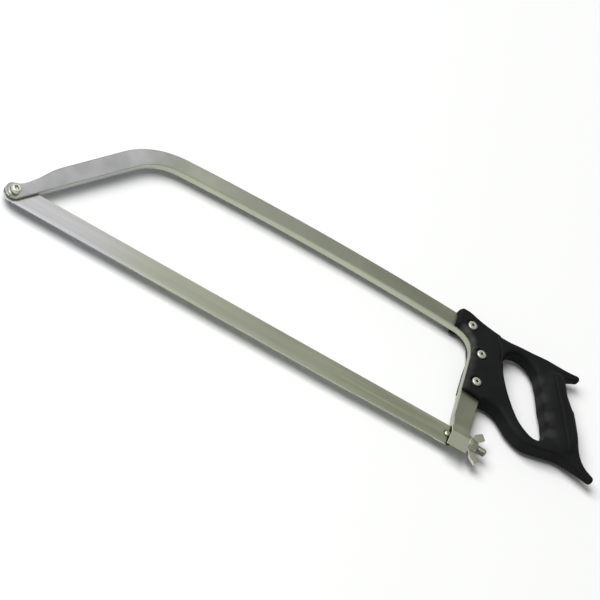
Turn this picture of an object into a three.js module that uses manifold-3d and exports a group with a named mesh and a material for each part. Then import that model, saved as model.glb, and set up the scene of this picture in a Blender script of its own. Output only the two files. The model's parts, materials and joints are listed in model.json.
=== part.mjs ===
// Butcher saw: a bowed flat-tube frame, a moulded handle and a blade tensioned by a wing nut.
// Millimetres, +Z up. The saw lies on its side: X runs from the nose to the handle, Y from the
// blade to the back bar and Z through the thickness. Shapes are drawn from the front bolt's axis
// in the middle plane, and the whole saw is then set down on its lowest face.
import * as THREE from 'three';
import { mergeVertices } from 'three/addons/utils/BufferGeometryUtils.js';
import Module from 'manifold-3d';

const wasm = await Module();
wasm.setup();
const degrees = THREE.MathUtils.degToRad;

// Gap kept between pieces that touch, and the overrun of a cut past the face it opens
const CLEARANCE = 0.3;
const OVERCUT = 2;

// Fineness: sides of a round piece, points on each stretch of a curve, steps round an edge
const ROUND_SIDES = 32;
const CURVE_POINTS = 6;
const OUTLINE_POINTS = 4;
const EDGE_STEPS = 2;
const MOULDED_STEPS = 3;
const GRIP_STEPS = 5;

// Blade: span from the front bolt to the rear pin, its rounded ends and its teeth
const BLADE_SPAN = 500;
const BLADE_WIDTH = 26.2;
const BLADE_THICKNESS = 0.8;
const BLADE_NOSE = 7.5;
const BLADE_NOSE_ROUND = 16;
const BLADE_TAIL = 7;
const BLADE_CORNER = 5;
const TOOTH_PITCH = 2.5;
const TOOTH_DEPTH = 1.4;
const TOOTH_LEAN = 0.7;
const TEETH_FRONT = 3;
const TEETH_REAR = 11;
const EDGE_RISE = 2.2;
const EDGE_RISE_REACH = 130;

// Flat tube of the frame, its crowned back bar and its bends, measured at the inner face
const TUBE_WIDTH = 18;
const ARM_WIDTH = 19.5;
const TUBE_THICKNESS = 8;
const TUBE_WALL = 2;
const TUBE_EDGE = 1;
const BAR_HEIGHT = 133.3;
const BAR_CREST = 312;
const BAR_CROWN = 2900;
const ARM_ANGLE = degrees(46.6);
const NOSE_BEND = 66;
const NOSE_SPREAD = 1.8;
const HEEL_BEND = 25;
const HEEL_SETBACK = 2;
const HEEL_DROP = 3;

// Slotted nose round the front bolt: end radius, and the waist between it and the full width
const NOSE_RADIUS = 9.3;
const NOSE_SHOULDER = degrees(55);
const WAIST_WIDTH = 12.6;
const WAIST_REACH = 27;
const TAPER_REACH = 68;
const SLOT_MARGIN = 1.5;

// Spread socket at the rear end of the tube, measured from the blade's middle line
const SOCKET_TOP = 12;
const SOCKET_JOGGLE = 8;
const SOCKET_DEPTH = 15.5;
const SOCKET_THICKNESS = 15;
const SOCKET_LEAN = 2;
const SOCKET_RISE = 14.5;

// Draw bolt: its pull line above the blade's middle line, stud, hook and travel
const PULL_LINE = 3.7;
const STUD_DIAMETER = 8;
const STUD_TIP = 22;
const STUD_CHAMFER = 1;
const DRAW_TRAVEL = 4;
const HOOK_THICKNESS = 2.4;
const HOOK_HEIGHT = 11;
const HOOK_FINGER = 4;

// Rivet at the rear end of the blade, above the blade's middle line
const PIN_LINE = 2.4;
const PIN_DIAMETER = 5.5;
const PIN_NECK = 4.4;
const PIN_HEAD = 6.2;
const PIN_HEAD_HEIGHT = 1.3;

// Dome of a button head, as shares of its radius and height from the rim to the flat top
const DOME = [[1, 0.35], [0.92, 0.68], [0.72, 0.92], [0.5, 1]];

// Wing nut and its washer
const WASHER_DIAMETER = 17;
const WASHER_THICKNESS = 1.5;
const NUT_BASE = 15;
const NUT_CROWN = 11.5;
const NUT_COLLAR = 2.25;
const NUT_HEIGHT = 9;
const WING_THICKNESS = 3;
const WING_EDGE = 0.8;

// Wing outline, as distances behind the nut's face and out from its axis
const WING_ROOT = [1.1, 5.75];
const WING_SWEEP = [3.6, 14.3];
const WING_SHOULDER = [11.5, 20.9];
const WING_CORNER = [16.5, 14];
const WING_HEEL = [9.2, 7];
const WING_ROUND = 1.6;

// Front bolt, its nut and the spacers beside the blade
const BOLT_DIAMETER = 6;
const BOLT_HEAD = 11;
const BOLT_HEAD_HEIGHT = 4.5;
const BOLT_SOCKET = 4;
const BOLT_TIP = 1.5;
const NUT_ACROSS = 10;
const NUT_THICKNESS = 5;
const SPACER_DIAMETER = 14;

// Handle: cheeks over the frame, body and grip, with the rounding of their edges
const CHEEK_THICKNESS = 6;
const CHEEK_EDGE = 4;
const PANEL_STEP = 0.6;
const EDGE_SHARE = 0.8;
const EDGE_GRADE = 0.5;
const BODY_EDGE = 5;
const TIP_HALF = 4;
const TIP_TAPER = 0.14;
const GRIP_THICKNESS = 27;
const GRIP_EDGE = 9;
const DIMPLE_RADIUS = 14;
const DIMPLE_HEIGHT = 24;
const GROOVE_WIDTH = 3;
const GROOVE_DEPTH = 0.8;

// Handle screws and their sleeve nuts, placed from the outer corner of the frame's heel
const SCREWS = [[-29.7, -11.7], [-12.7, -39.8], [-10, -74.7]];
const SCREW_HEAD = 9.9;
const SCREW_HEAD_HEIGHT = 2.6;
const SCREW_DIAMETER = 4;
const SCREW_SOCKET = 3;
const SOCKET_SINK = 1.6;
const SLEEVE_DIAMETER = 6.5;
const SLEEVE_HEAD_HEIGHT = 1.6;
const SLEEVE_SOCKET = 4;
const SLEEVE_SINK = 1;
const COUNTERBORE_GAP = 0.8;
const COUNTERBORE_DEPTH = 2;

// Handle outline, as points from the outer corner of the frame's heel, counter-clockwise
const CHEEK_BOTTOM = 88.5;
const HANDLE_FRONT = 46;
const HANDLE_SETBACK = 0.5;
const UNDERSIDE = [
  [0, -91], [10, -89], [23, -92.5], [39, -105.8], [57, -112.7], [73, -110.2], [95, -104.4], [113, -107.2],
];
const TAIL_TIP = { centre: [133.5, -107.6], radius: 4, from: degrees(-105), to: degrees(60) };
const BACK_EDGE = [[124, -98], [115, -87], [106, -64.5], [98, -46], [88.5, -31.5], [83, -18], [84, -9]];
const HORN_TIP = { centre: [92.3, 0.5], radius: 3.4, from: degrees(-50), to: degrees(98) };
const TOP_EDGE = [[69, 1.8], [45, -1], [22, -3.2], [2, -3.5], [-20, 0], [-37, 5], [-43, 2.5], [-46, -4]];
const FINGER_HOLE = [
  [12, -32], [16.5, -48], [27.5, -69.5], [42.5, -90], [57.5, -100.3], [67.5, -101.5], [74, -95],
  [74, -81], [66.5, -62], [55.5, -35.5], [45.5, -19.5], [30, -12.3], [17, -17.5],
];
const GRIP_PAD = [
  [67.5, -61.5], [75.5, -82], [81, -95], [92, -101], [106, -97], [111.5, -83], [104.5, -63],
  [96.5, -46], [87, -31], [81, -17], [73, -10], [62, -13], [57, -25], [60.3, -44],
];
const PANEL_EDGE = [[-2, 10], [1, -4], [7, -18], [6, -34], [30, -40], [90, -45], [160, -45]];
const FINGER_DIMPLES = [[58, -27], [63, -45], [71, -66], [78, -84]];
const PALM_GROOVE = [[68, -17], [100, -89]];

// Places that follow from the sizes above
const halfTube = TUBE_THICKNESS / 2;
const slotHalf = halfTube - TUBE_WALL;
const bladeHalf = BLADE_THICKNESS / 2;
const heelInner = BLADE_SPAN + HEEL_SETBACK;
const heelOuter = new THREE.Vector2(heelInner + ARM_WIDTH, BAR_HEIGHT + TUBE_WIDTH - HEEL_DROP);
const barCentre = new THREE.Vector2(BAR_CREST, BAR_HEIGHT - BAR_CROWN);
const plainEdge = BLADE_WIDTH / 2 - TOOTH_DEPTH;
const noseSweep = Math.hypot(BLADE_NOSE - BLADE_CORNER, plainEdge - BLADE_CORNER) + BLADE_CORNER;
const slotTop = Math.max(noseSweep, BLADE_WIDTH / 2) + SLOT_MARGIN;
const cheekFace = halfTube + CHEEK_THICKNESS;
const counterbore = cheekFace - COUNTERBORE_DEPTH;
const boltHole = BOLT_DIAMETER + 2 * CLEARANCE;
const studHole = STUD_DIAMETER + 2 * CLEARANCE;
const sleeveHole = SLEEVE_DIAMETER + 2 * CLEARANCE;
const counterboreHole = SCREW_HEAD + 2 * COUNTERBORE_GAP;
const washerFace = heelOuter.x + CLEARANCE;
const nutFace = washerFace + WASHER_THICKNESS + CLEARANCE;
const hookFace = bladeHalf + 2 * CLEARANCE;
const screwPlaces = fromHeel(SCREWS);

// A closed geometry becomes a solid for joining and cutting, and a solid becomes a geometry
function solid(geometry) {
  geometry.deleteAttribute('normal');
  geometry.deleteAttribute('uv');
  const merged = mergeVertices(geometry, 1e-4);
  return new wasm.Manifold(new wasm.Mesh({
    numProp: 3,
    vertProperties: new Float32Array(merged.attributes.position.array),
    triVerts: new Uint32Array(merged.index.array),
  }));
}

function geometryOf(body) {
  const mesh = body.getMesh();
  const geometry = new THREE.BufferGeometry();
  geometry.setAttribute('position', new THREE.BufferAttribute(mesh.vertProperties, 3));
  geometry.setIndex(new THREE.BufferAttribute(mesh.triVerts, 1));
  return geometry;
}

// Plate drawn in the saw's plane between two heights, its edges rounded in steps
function plate(shape, bottom, top, edge = 0, curveSegments = CURVE_POINTS) {
  const geometry = new THREE.ExtrudeGeometry(shape, {
    depth: top - bottom - 2 * edge,
    bevelEnabled: edge > 0,
    bevelSize: edge,
    bevelOffset: -edge,
    bevelThickness: edge,
    bevelSegments: EDGE_STEPS,
    curveSegments,
  });
  geometry.translate(0, 0, bottom + edge);
  return solid(geometry);
}

// Inward normal at each point of a loop that runs with the material on its left
function inwardNormals(loop) {
  return loop.map((point, i) => {
    const before = point.clone().sub(loop.at(i - 1)).normalize();
    const after = loop[(i + 1) % loop.length].clone().sub(point).normalize();
    const along = before.add(after).normalize();
    return new THREE.Vector2(-along.y, along.x);
  });
}

// Radius of the largest circle inside a loop that touches the loop at one of its points
function roomAt(point, normal, loop) {
  return loop.reduce((room, other) => {
    const gap = other.clone().sub(point);
    const ahead = gap.dot(normal);
    return ahead > 0 ? Math.min(room, gap.lengthSq() / (2 * ahead)) : room;
  }, Infinity);
}

// Moulded plate, the same on both faces, with its half thickness given for each point. Its edge is
// rounded by a radius that shrinks where the outline is narrow or tightly curved, as at a horn or
// a tail, so that the faces never fold over
function moulded(shape, halfAt, radius, steps) {
  const { shape: outer, holes } = shape.extractPoints(OUTLINE_POINTS);
  const loops = [outer, ...holes].map((points, i) => {
    const loop = points.filter((point, j) => point.distanceTo(points.at(j - 1)) > CLEARANCE);
    return THREE.ShapeUtils.isClockWise(loop) === (i > 0) ? loop : loop.reverse();
  });
  const everyPoint = loops.flat();
  const halves = everyPoint.map(halfAt);
  const normals = loops.flatMap(inwardNormals);
  const limits = everyPoint.map((point, i) => (
    EDGE_SHARE * Math.min(halves[i], roomAt(point, normals[i], everyPoint))
  ));
  const radii = everyPoint.map((point) => everyPoint.reduce(
    (least, other, j) => Math.min(least, limits[j] + EDGE_GRADE * point.distanceTo(other)),
    radius,
  ));
  const ring = (angle, side) => everyPoint.map((point, i) => [
    point.x + normals[i].x * radii[i] * (1 - Math.cos(angle)),
    point.y + normals[i].y * radii[i] * (1 - Math.cos(angle)),
    side * (halves[i] - radii[i] * (1 - Math.sin(angle))),
  ]);
  const angles = Array.from({ length: steps + 1 }, (_, i) => (i / steps) * (Math.PI / 2));
  const rings = [
    ...angles.toReversed().map((angle) => ring(angle, -1)),
    ...angles.map((angle) => ring(angle, 1)),
  ];
  const count = everyPoint.length;
  const top = (rings.length - 1) * count;
  const caps = [];
  const faces = [];
  let first = 0;
  for (const { length } of loops) {
    for (let low = first; low < top; low += count) {
      for (let i = 0; i < length; i += 1) {
        const here = low + i;
        const next = low + (i + 1) % length;
        faces.push(here, next, next + count, here, next + count, here + count);
      }
    }
    caps.push(rings[0].slice(first, first + length).map(([x, y]) => new THREE.Vector2(x, y)));
    first += length;
  }
  for (const [a, b, c] of THREE.ShapeUtils.triangulateShape(caps[0], caps.slice(1))) {
    faces.push(c, b, a, top + a, top + b, top + c);
  }
  const geometry = new THREE.BufferGeometry();
  geometry.setAttribute('position', new THREE.Float32BufferAttribute(rings.flat(2), 3));
  geometry.setIndex(faces);
  return solid(geometry);
}

// Turned piece about the Z axis, from (radius, height) pairs that start and end on the axis
function turned(profile, sides = ROUND_SIDES) {
  const points = profile.map(([radius, height]) => new THREE.Vector2(radius, height));
  const geometry = new THREE.LatheGeometry(points, sides);
  geometry.rotateX(Math.PI / 2);
  return solid(geometry);
}

function rod(diameter, bottom, top, sides = ROUND_SIDES) {
  return turned([[0, bottom], [diameter / 2, bottom], [diameter / 2, top], [0, top]], sides);
}

function hexagon(across, bottom, top) {
  return rod(2 * across / Math.sqrt(3), bottom, top, 6);
}

// Turns a piece made about Z so that its axis lies along +X on the draw bolt's pull line
function onPullLine(body) {
  return body.rotate([0, 90, 0]).translate([0, PULL_LINE, 0]);
}

function polygon(points) {
  return new THREE.Shape(points.map(([x, y]) => new THREE.Vector2(x, y)));
}

// Extrudes along X a shape drawn with Z towards the far side across and Y upwards
function extrudeX(shape, from, to) {
  const geometry = new THREE.ExtrudeGeometry(shape, { depth: to - from, bevelEnabled: false });
  geometry.rotateY(Math.PI / 2);
  geometry.translate(from, 0, 0);
  return solid(geometry);
}

// Extrudes along X a section that is symmetric in Z, given as (height, half thickness) pairs
function alongX(section, from, to) {
  const near = section.map(([y, half]) => [half, y]);
  const far = section.map(([y, half]) => [-half, y]).reverse();
  return extrudeX(polygon([...near, ...far]), from, to);
}

// Point on the front arm: distance along it from the bolt, and offset towards its outer edge
function onArm(along, across) {
  return new THREE.Vector2(along, across).rotateAround(new THREE.Vector2(), ARM_ANGLE);
}

// Height of a point on the crowned bar, on the arc that stands off its inner face by an offset
function barHeight(x, offset) {
  return barCentre.y + Math.sqrt((BAR_CROWN + offset) ** 2 - (x - barCentre.x) ** 2);
}

// One edge of the bent tube as three arcs that run into each other: the nose bend, the bar and the
// heel bend. It stands off the inner face by an offset, and meets the arms where they are given.
// The nose bend spreads towards its outer side, where the tube was stretched
function tubeEdge(offset, armAcross, armRear) {
  const noseRadius = NOSE_BEND + NOSE_SPREAD * offset;
  const heelRadius = HEEL_BEND + offset;
  const start = onArm(0, armAcross - noseRadius).sub(barCentre);
  const lead = start.dot(onArm(1, 0));
  const apart = BAR_CROWN + offset - noseRadius;
  const along = Math.sqrt(lead ** 2 - start.lengthSq() + apart ** 2) - lead;
  const nose = onArm(along, armAcross - noseRadius);
  const heelX = armRear - heelRadius;
  const heel = new THREE.Vector2(heelX, barHeight(heelX, -HEEL_BEND));
  const noseTurn = nose.clone().sub(barCentre).angle();
  const heelTurn = heel.clone().sub(barCentre).angle();
  return [
    { centre: nose, radius: noseRadius, from: Math.PI / 2 + ARM_ANGLE, to: noseTurn },
    { centre: barCentre, radius: BAR_CROWN + offset, from: noseTurn, to: heelTurn },
    { centre: heel, radius: heelRadius, from: heelTurn, to: 0 },
  ];
}

// Outline of the bent tube with every edge moved in by an inset
function tubeOutline(inset) {
  const noseRadius = NOSE_RADIUS - inset;
  const full = ARM_WIDTH - NOSE_RADIUS - inset;
  const waist = WAIST_WIDTH - NOSE_RADIUS - inset;
  const outer = tubeEdge(TUBE_WIDTH - inset, full, heelOuter.x - inset);
  const inner = tubeEdge(inset, -noseRadius, heelInner + inset);
  const middle = (TAPER_REACH + WAIST_REACH) / 2;
  const lead = WAIST_REACH / 4;
  const [shoulder, shoulderLead] = [0, -lead].map((along) => (
    new THREE.Vector2(noseRadius, along).rotateAround(new THREE.Vector2(), NOSE_SHOULDER)
  ));
  const shape = new THREE.Shape();
  shape.moveTo(heelOuter.x - inset, SOCKET_TOP);
  shape.lineTo(heelOuter.x - inset, outer.at(-1).centre.y);
  for (const { centre, radius, from, to } of outer.toReversed()) {
    shape.absarc(centre.x, centre.y, radius, to, from, false);
  }
  shape.lineTo(...onArm(TAPER_REACH, full));
  shape.bezierCurveTo(...onArm(middle, full), ...onArm(middle, waist), ...onArm(WAIST_REACH, waist));
  shape.bezierCurveTo(
    ...onArm(WAIST_REACH - lead, waist),
    ...onArm(...shoulderLead),
    ...onArm(...shoulder),
  );
  shape.absarc(0, 0, noseRadius, ARM_ANGLE + NOSE_SHOULDER, ARM_ANGLE + 3 * Math.PI / 2, false);
  for (const { centre, radius, from, to } of inner) {
    shape.absarc(centre.x, centre.y, radius, from, to, true);
  }
  shape.lineTo(heelInner + inset, SOCKET_TOP);
  return shape;
}

// Socket section: as thick as the tube at the top, stepping out to the cheeks below the joggle
function socketSection(inset, top, bottom) {
  return [
    [bottom, SOCKET_THICKNESS / 2 - inset],
    [SOCKET_TOP - SOCKET_JOGGLE, SOCKET_THICKNESS / 2 - inset],
    [SOCKET_TOP, halfTube - inset],
    [top, halfTube - inset],
  ];
}

function makeFrame() {
  const lap = SOCKET_TOP + OVERCUT;
  const below = -SOCKET_DEPTH - OVERCUT;
  const ahead = heelInner - SOCKET_LEAN - OVERCUT;
  const tube = plate(tubeOutline(0), -halfTube, halfTube, TUBE_EDGE);
  const side = polygon([
    [heelInner, lap],
    [heelInner, SOCKET_TOP - SOCKET_JOGGLE],
    [heelInner - SOCKET_LEAN, -SOCKET_DEPTH],
    [heelOuter.x, -SOCKET_DEPTH],
    [heelOuter.x, lap],
  ]);
  const socket = alongX(socketSection(0, lap, -SOCKET_DEPTH), ahead, heelOuter.x)
    .intersect(plate(side, -SOCKET_THICKNESS, SOCKET_THICKNESS));
  const belowSocket = [
    [-SOCKET_THICKNESS / 2, -SOCKET_DEPTH],
    [SOCKET_THICKNESS / 2, -SOCKET_DEPTH],
    [SOCKET_THICKNESS / 2, -SOCKET_DEPTH + SOCKET_RISE],
  ];
  const noseSlot = polygon([
    [-noseSweep, -noseSweep],
    [BLADE_SPAN / 2, -noseSweep],
    [BLADE_SPAN / 2, slotTop],
    [-noseSweep, slotTop],
  ]);
  const cuts = [
    plate(tubeOutline(TUBE_WALL), -slotHalf, slotHalf),
    alongX(socketSection(TUBE_WALL, lap + OVERCUT, below), heelInner + TUBE_WALL, heelOuter.x - TUBE_WALL),
    alongX(socketSection(TUBE_WALL, slotTop, below), ahead, heelInner + TUBE_WALL + OVERCUT),
    extrudeX(polygon(belowSocket), ahead, heelOuter.x + OVERCUT),
    plate(noseSlot, -slotHalf, slotHalf),
    rod(boltHole, -TUBE_THICKNESS, TUBE_THICKNESS),
    onPullLine(rod(studHole, heelOuter.x - TUBE_WALL - OVERCUT, heelOuter.x + OVERCUT)),
    ...screwPlaces.map(({ x, y }) => rod(sleeveHole, -TUBE_THICKNESS, TUBE_THICKNESS).translate([x, y, 0])),
  ];
  return cuts.reduce((body, cut) => body.subtract(cut), tube.add(socket));
}

// Handle points given from the outer corner of the heel
function fromHeel(points) {
  return points.map(([x, y]) => new THREE.Vector2(heelOuter.x + x, heelOuter.y + y));
}

function closedSpline(points) {
  const path = fromHeel(points);
  const shape = new THREE.Shape();
  shape.moveTo(...path[0]);
  shape.splineThru([...path.slice(1), path[0]]);
  return shape;
}

// Adds a run of smooth outline that ends in a round tip
function runToTip(shape, points, { centre, radius, from, to }) {
  const [middle] = fromHeel([centre]);
  const start = new THREE.Vector2(radius, 0).rotateAround(new THREE.Vector2(), from).add(middle);
  shape.splineThru([...fromHeel(points), start]);
  shape.absarc(middle.x, middle.y, radius, from, to, false);
}

// Outline of the handle: just behind the tube's inner face at the front, then round the tail and horn
function handleOutline() {
  const shape = new THREE.Shape();
  const inner = heelInner + HANDLE_SETBACK;
  shape.moveTo(inner, heelOuter.y - CHEEK_BOTTOM);
  shape.lineTo(...fromHeel(UNDERSIDE)[0]);
  runToTip(shape, UNDERSIDE.slice(1), TAIL_TIP);
  runToTip(shape, BACK_EDGE, HORN_TIP);
  shape.splineThru(fromHeel(TOP_EDGE));
  const front = heelOuter.x - HANDLE_FRONT;
  const { centre, radius, from, to } = tubeEdge(HANDLE_SETBACK, -NOSE_RADIUS, inner).at(-1);
  shape.lineTo(front, barHeight(front, HANDLE_SETBACK));
  shape.absarc(centre.x, centre.y, radius, from, to, true);
  return shape;
}

// Space for the frame between the cheeks, open towards the throat
function frameSlot() {
  const shape = new THREE.Shape();
  const bottom = heelOuter.y - CHEEK_BOTTOM - HEEL_BEND;
  const rear = heelOuter.x + CLEARANCE;
  const front = heelInner - HEEL_BEND - HANDLE_FRONT;
  const offset = TUBE_WIDTH + CLEARANCE;
  const { centre, radius, from, to } = tubeEdge(offset, ARM_WIDTH - NOSE_RADIUS, rear).at(-1);
  shape.moveTo(rear, bottom);
  shape.lineTo(rear, centre.y);
  shape.absarc(centre.x, centre.y, radius, to, from, false);
  shape.lineTo(front, barHeight(front, offset));
  shape.lineTo(front, bottom);
  return plate(shape, -halfTube - CLEARANCE, halfTube + CLEARANCE, 0, 2 * CURVE_POINTS);
}

// Rounded bar between two points, for the groove along the palm
function stadium([from, to], width) {
  const angle = to.clone().sub(from).angle();
  const shape = new THREE.Shape();
  shape.absarc(from.x, from.y, width / 2, angle + Math.PI / 2, angle + 3 * Math.PI / 2, false);
  shape.absarc(to.x, to.y, width / 2, angle - Math.PI / 2, angle + Math.PI / 2, false);
  return shape;
}

function makeHandle() {
  const outline = handleOutline();
  outline.holes.push(closedSpline(FINGER_HOLE));
  const bodyFace = cheekFace - PANEL_STEP;
  const gripFace = GRIP_THICKNESS / 2;
  const panel = new THREE.Shape(fromHeel([
    ...PANEL_EDGE,
    [PANEL_EDGE.at(-1)[0], -2 * CHEEK_BOTTOM],
    [-2 * HANDLE_FRONT, -2 * CHEEK_BOTTOM],
    [-2 * HANDLE_FRONT, PANEL_EDGE[0][1]],
  ]));
  const tips = fromHeel([HORN_TIP.centre, TAIL_TIP.centre]);
  const taperedFrom = (face) => (point) => tips.reduce(
    (half, tip) => Math.min(half, TIP_HALF + TIP_TAPER * point.distanceTo(tip)),
    face,
  );
  const cheeks = moulded(outline, taperedFrom(cheekFace), CHEEK_EDGE, MOULDED_STEPS)
    .intersect(plate(panel, -cheekFace, cheekFace));
  const body = moulded(outline, taperedFrom(bodyFace), BODY_EDGE, MOULDED_STEPS)
    .add(cheeks)
    .add(moulded(closedSpline(GRIP_PAD), () => gripFace, GRIP_EDGE, GRIP_STEPS));
  const dimple = solid(new THREE.SphereGeometry(DIMPLE_RADIUS, ROUND_SIDES, ROUND_SIDES / 2));
  const groove = stadium(fromHeel(PALM_GROOVE), GROOVE_WIDTH);
  const cuts = [
    frameSlot(),
    ...[-1, 1].flatMap((side) => fromHeel(FINGER_DIMPLES)
      .map(({ x, y }) => dimple.translate([x, y, side * DIMPLE_HEIGHT]))),
    plate(groove, gripFace - GROOVE_DEPTH, gripFace + OVERCUT),
    plate(groove, -gripFace - OVERCUT, -gripFace + GROOVE_DEPTH),
    ...screwPlaces.flatMap(({ x, y }) => [
      rod(sleeveHole, -cheekFace, cheekFace),
      rod(counterboreHole, counterbore, cheekFace + OVERCUT),
      rod(counterboreHole, -cheekFace - OVERCUT, -counterbore),
    ].map((cut) => cut.translate([x, y, 0]))),
  ];
  return cuts.reduce((rest, cut) => rest.subtract(cut), body);
}

// Profile of a domed head from its rim to the middle of its top
function domeProfile(diameter, seat, height) {
  const dome = DOME.map(([across, up]) => [across * diameter / 2, seat + up * height]);
  return [[diameter / 2, seat], ...dome, [0, seat + height]];
}

// Button head with a hexagonal socket, standing on Z = 0
function buttonHead(diameter, height, across) {
  return turned([[0, 0], ...domeProfile(diameter, 0, height)])
    .subtract(hexagon(across, height - SOCKET_SINK, height + OVERCUT));
}

function makeHandleScrew() {
  const seat = counterbore + CLEARANCE;
  return buttonHead(SCREW_HEAD, SCREW_HEAD_HEIGHT, SCREW_SOCKET).translate([0, 0, seat])
    .add(rod(SCREW_DIAMETER, -halfTube, seat + SCREW_HEAD_HEIGHT - SOCKET_SINK));
}

function makeHandleSleeve() {
  const seat = -counterbore - CLEARANCE;
  const mouth = counterbore - CLEARANCE;
  const outside = seat - SLEEVE_HEAD_HEIGHT;
  return rod(SCREW_HEAD, outside, seat)
    .add(rod(SLEEVE_DIAMETER, outside, mouth))
    .subtract(hexagon(SLEEVE_SOCKET, outside - OVERCUT, outside + SLEEVE_SINK))
    .subtract(rod(SCREW_DIAMETER + 2 * CLEARANCE, -halfTube - CLEARANCE, mouth + OVERCUT));
}

// Blade with raked teeth along its lower edge and a hole at each end. The front end is rounded so
// that it turns inside the nose, and the toothed edge rises a little towards the rear
function makeBlade() {
  const half = BLADE_WIDTH / 2;
  const right = BLADE_SPAN + BLADE_TAIL - BLADE_CORNER;
  const upright = Math.PI / 2;
  const teeth = Math.floor((BLADE_SPAN - TEETH_FRONT - TEETH_REAR) / TOOTH_PITCH);
  const edgeAt = (x) => {
    const share = THREE.MathUtils.clamp((x - BLADE_SPAN) / EDGE_RISE_REACH + 1, 0, 1);
    return EDGE_RISE * share - half;
  };
  const corner = (x, y, radius, turns) => {
    shape.absarc(x, y, radius, turns * upright, (turns + 1) * upright, false);
  };
  const shape = new THREE.Shape();
  corner(BLADE_CORNER - BLADE_NOSE, BLADE_CORNER - plainEdge, BLADE_CORNER, 2);
  shape.lineTo(TEETH_FRONT - TOOTH_LEAN * TOOTH_PITCH, -plainEdge);
  for (let i = 0; i < teeth; i += 1) {
    const start = TEETH_FRONT + i * TOOTH_PITCH;
    const gullet = start + (1 - TOOTH_LEAN) * TOOTH_PITCH;
    shape.lineTo(start, edgeAt(start));
    shape.lineTo(gullet, edgeAt(gullet) + TOOTH_DEPTH);
  }
  const teethEnd = TEETH_FRONT + teeth * TOOTH_PITCH;
  shape.lineTo(teethEnd, edgeAt(teethEnd));
  corner(right, edgeAt(BLADE_SPAN) + BLADE_CORNER, BLADE_CORNER, 3);
  corner(right, half - BLADE_CORNER, BLADE_CORNER, 0);
  corner(BLADE_NOSE_ROUND - BLADE_NOSE, half - BLADE_NOSE_ROUND, BLADE_NOSE_ROUND, 1);
  const holes = [[0, 0, BOLT_DIAMETER], [BLADE_SPAN, PIN_LINE, PIN_NECK]];
  for (const [x, y, diameter] of holes) {
    shape.holes.push(new THREE.Path().absarc(x, y, diameter / 2 + CLEARANCE, 0, 2 * Math.PI, false));
  }
  return plate(shape, -bladeHalf, bladeHalf);
}

// Rivet: its domed head on the near face, a neck through the blade and the shank for the hook
function makeBladePin() {
  const face = bladeHalf + CLEARANCE;
  const end = -hookFace - HOOK_THICKNESS - CLEARANCE;
  const shank = PIN_DIAMETER / 2;
  return turned([
    [0, end], [shank, end], [shank, -face], [PIN_NECK / 2, -face], [PIN_NECK / 2, face],
    ...domeProfile(PIN_HEAD, face, PIN_HEAD_HEIGHT),
  ]);
}

// Draw bolt: a flat hook on the far side of the blade, notched for the pin, and a stud behind it
function makeDrawBolt() {
  const reach = PIN_DIAMETER / 2 + CLEARANCE;
  const front = BLADE_SPAN - reach;
  const rear = BLADE_SPAN + reach + DRAW_TRAVEL;
  const low = PIN_LINE - HOOK_HEIGHT / 2;
  const high = PIN_LINE + HOOK_HEIGHT / 2;
  const studFront = BLADE_SPAN + BLADE_TAIL + DRAW_TRAVEL + OVERCUT;
  const hookRear = heelOuter.x - TUBE_WALL - OVERCUT;
  const hook = polygon([
    [front - HOOK_FINGER, low], [front, low], [front, PIN_LINE + reach], [rear, PIN_LINE + reach],
    [rear, low], [hookRear, low], [hookRear, high], [front - HOOK_FINGER, high],
  ]);
  const tip = heelOuter.x + STUD_TIP;
  const radius = STUD_DIAMETER / 2;
  const stud = turned([
    [0, studFront], [radius, studFront], [radius, tip - STUD_CHAMFER], [radius - STUD_CHAMFER, tip],
    [0, tip],
  ]);
  return plate(hook, -hookFace - HOOK_THICKNESS, -hookFace).add(onPullLine(stud));
}

function makeThrustWasher() {
  const ring = rod(WASHER_DIAMETER, washerFace, washerFace + WASHER_THICKNESS)
    .subtract(rod(studHole, washerFace - OVERCUT, nutFace + OVERCUT));
  return onPullLine(ring);
}

// Adds straight lines through a run of points, rounding each corner between them
function roundedRun(shape, points, radius) {
  const corners = points.map(([x, y]) => new THREE.Vector2(x, y));
  for (let i = 1; i < corners.length - 1; i += 1) {
    const [before, after] = [corners[i - 1], corners[i + 1]].map((other) => (
      other.clone().sub(corners[i]).setLength(radius).add(corners[i])
    ));
    shape.lineTo(before.x, before.y);
    shape.quadraticCurveTo(corners[i].x, corners[i].y, after.x, after.y);
  }
  shape.lineTo(...corners.at(-1));
}

// Wing nut: a tapered hub with two swept wings in the saw's plane
function makeWingNut() {
  const base = NUT_BASE / 2;
  const hub = turned([[0, 0], [base, 0], [base, NUT_COLLAR], [NUT_CROWN / 2, NUT_HEIGHT], [0, NUT_HEIGHT]]);
  const wing = new THREE.Shape();
  wing.moveTo(WING_ROOT[0], 0);
  wing.lineTo(...WING_ROOT);
  roundedRun(wing, [WING_ROOT, WING_SWEEP, WING_SHOULDER, WING_CORNER, WING_HEEL], WING_ROUND);
  wing.lineTo(WING_HEEL[0], 0);
  const ear = plate(wing, -WING_THICKNESS / 2, WING_THICKNESS / 2, WING_EDGE).translate([nutFace, 0, 0]);
  const ears = ear.add(ear.rotate([180, 0, 0])).translate([0, PULL_LINE, 0]);
  const bore = rod(studHole, nutFace - OVERCUT, nutFace + NUT_HEIGHT + OVERCUT);
  return onPullLine(hub.translate([0, 0, nutFace])).add(ears).subtract(onPullLine(bore));
}

function makeFrontBolt() {
  const seat = halfTube + CLEARANCE;
  return buttonHead(BOLT_HEAD, BOLT_HEAD_HEIGHT, BOLT_SOCKET).translate([0, 0, seat])
    .add(rod(BOLT_DIAMETER, -seat - NUT_THICKNESS - BOLT_TIP, seat + BOLT_HEAD_HEIGHT - SOCKET_SINK));
}

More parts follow.
